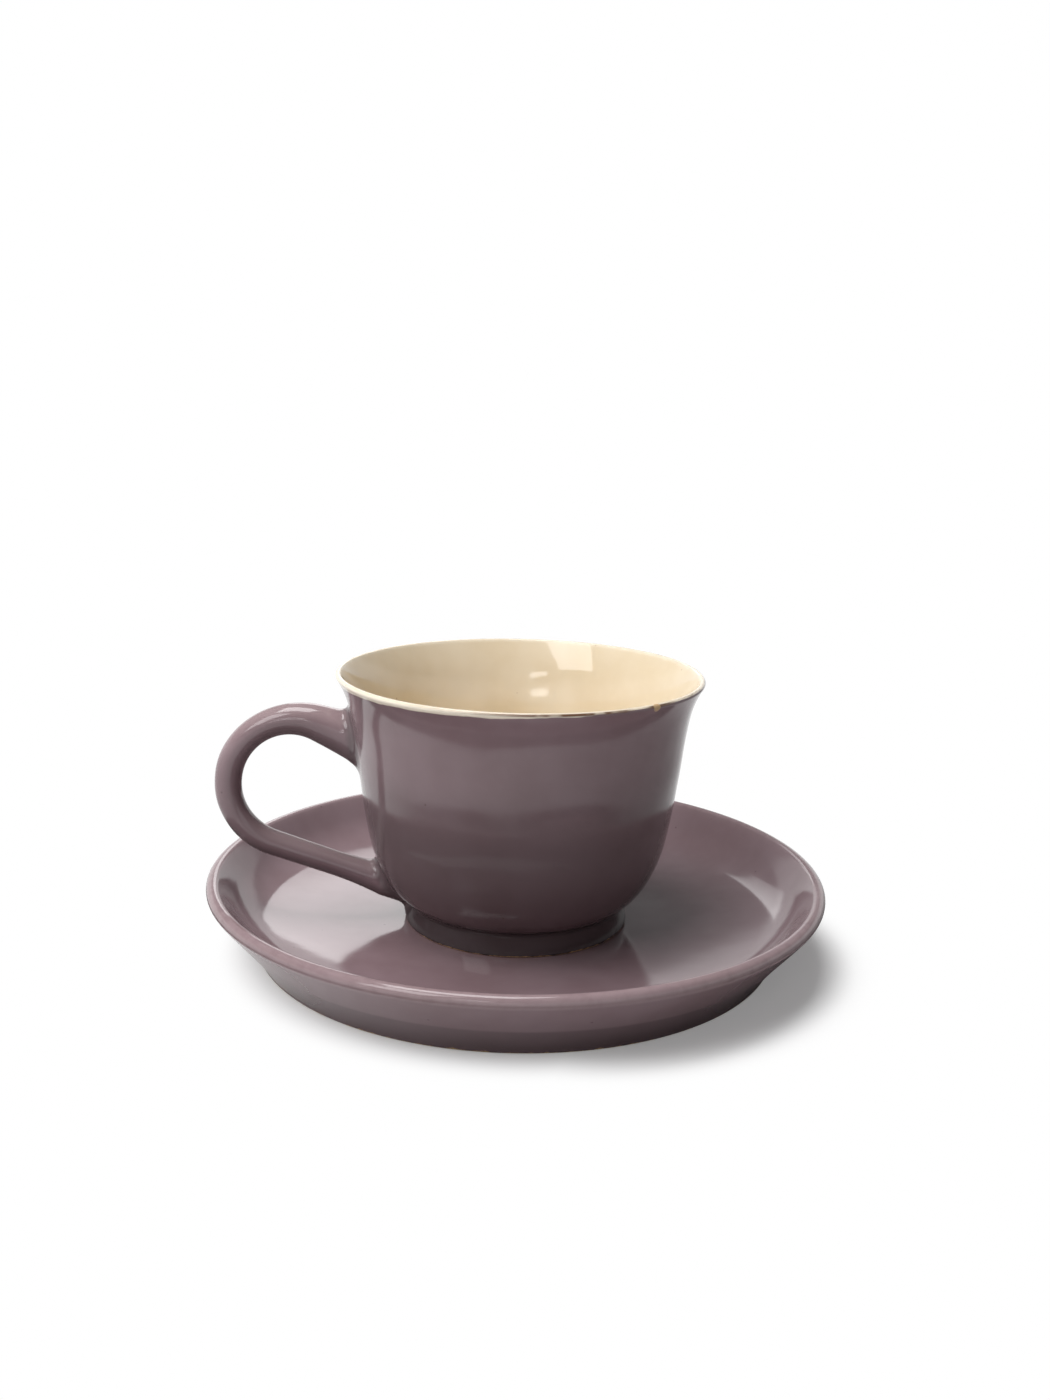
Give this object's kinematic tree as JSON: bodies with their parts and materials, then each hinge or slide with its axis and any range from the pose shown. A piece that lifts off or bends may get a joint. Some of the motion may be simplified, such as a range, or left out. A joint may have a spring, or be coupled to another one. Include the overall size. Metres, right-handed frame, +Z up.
{
  "type": "teacup and saucer",
  "caption": "Glazed stoneware teacup with a flared rim, looped handle and turned foot, standing loose on a shallow round saucer with a gently dished floor and a straight flared wall.",
  "frame": {"origin": "middle of the saucer's standing ring, on the table", "axes": "+Z up along the axis of the cup and saucer, -X towards the cup's handle"},
  "size_m": [0.154, 0.154, 0.0691],
  "materials": {
    "saucer_glaze": "glossy mauve-taupe glaze on stoneware",
    "cup_glaze": "glossy mauve-taupe glaze on stoneware",
    "lining_glaze": "glossy cream glaze",
    "handle_glaze": "glossy mauve-taupe glaze on stoneware"
  },
  "bodies": {
    "saucer": {"saucer": "saucer_glaze"},
    "cup": {"cup_body": "cup_glaze", "cup_lining": "lining_glaze", "cup_handle": "handle_glaze"}
  },
  "joints": [
    {"name": "cup_lift", "type": "slide", "parent": "saucer", "child": "cup", "axis": [0, 0, 1], "range_m": [0, 0.1]}
  ]
}
